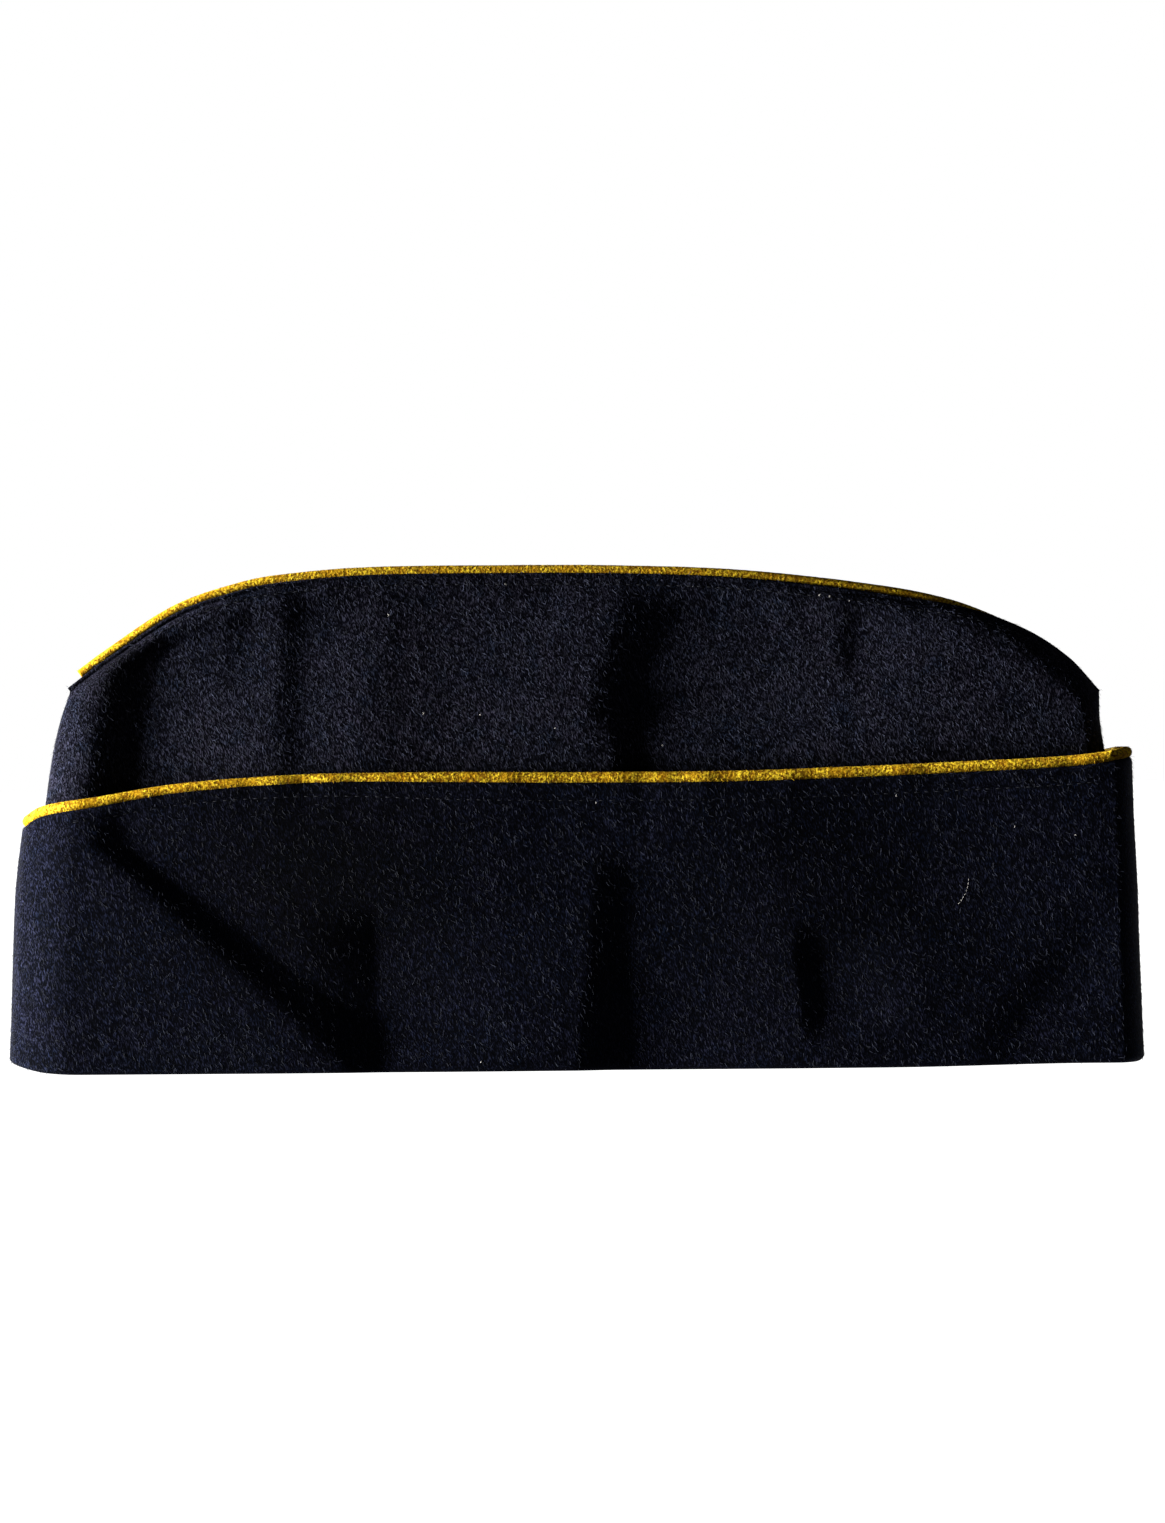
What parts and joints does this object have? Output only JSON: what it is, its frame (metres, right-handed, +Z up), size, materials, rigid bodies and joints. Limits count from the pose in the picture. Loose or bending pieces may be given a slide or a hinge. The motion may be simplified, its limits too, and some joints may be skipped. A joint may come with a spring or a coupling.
{
  "type": "garrison cap",
  "caption": "Soft flat-sided uniform cap: a long tent-shaped crown with a curved ridge, open at the rim, and a turned-up curtain round it, both edged with piping.",
  "frame": {"origin": "middle of the rim, on the surface that the cap stands on", "axes": "+Z up, +X towards the back of the cap, +Y towards the wearer's right side"},
  "size_m": [0.2818, 0.0361, 0.1253],
  "materials": {
    "navy_wool": "melton wool, felted nap, matt",
    "yellow_wool": "felted wool piping, matt"
  },
  "bodies": {
    "root": {"crown_left": "navy_wool", "crown_right": "navy_wool", "curtain_left": "navy_wool", "curtain_right": "navy_wool", "ridge_piping": "yellow_wool", "curtain_piping": "yellow_wool"}
  },
  "joints": []
}
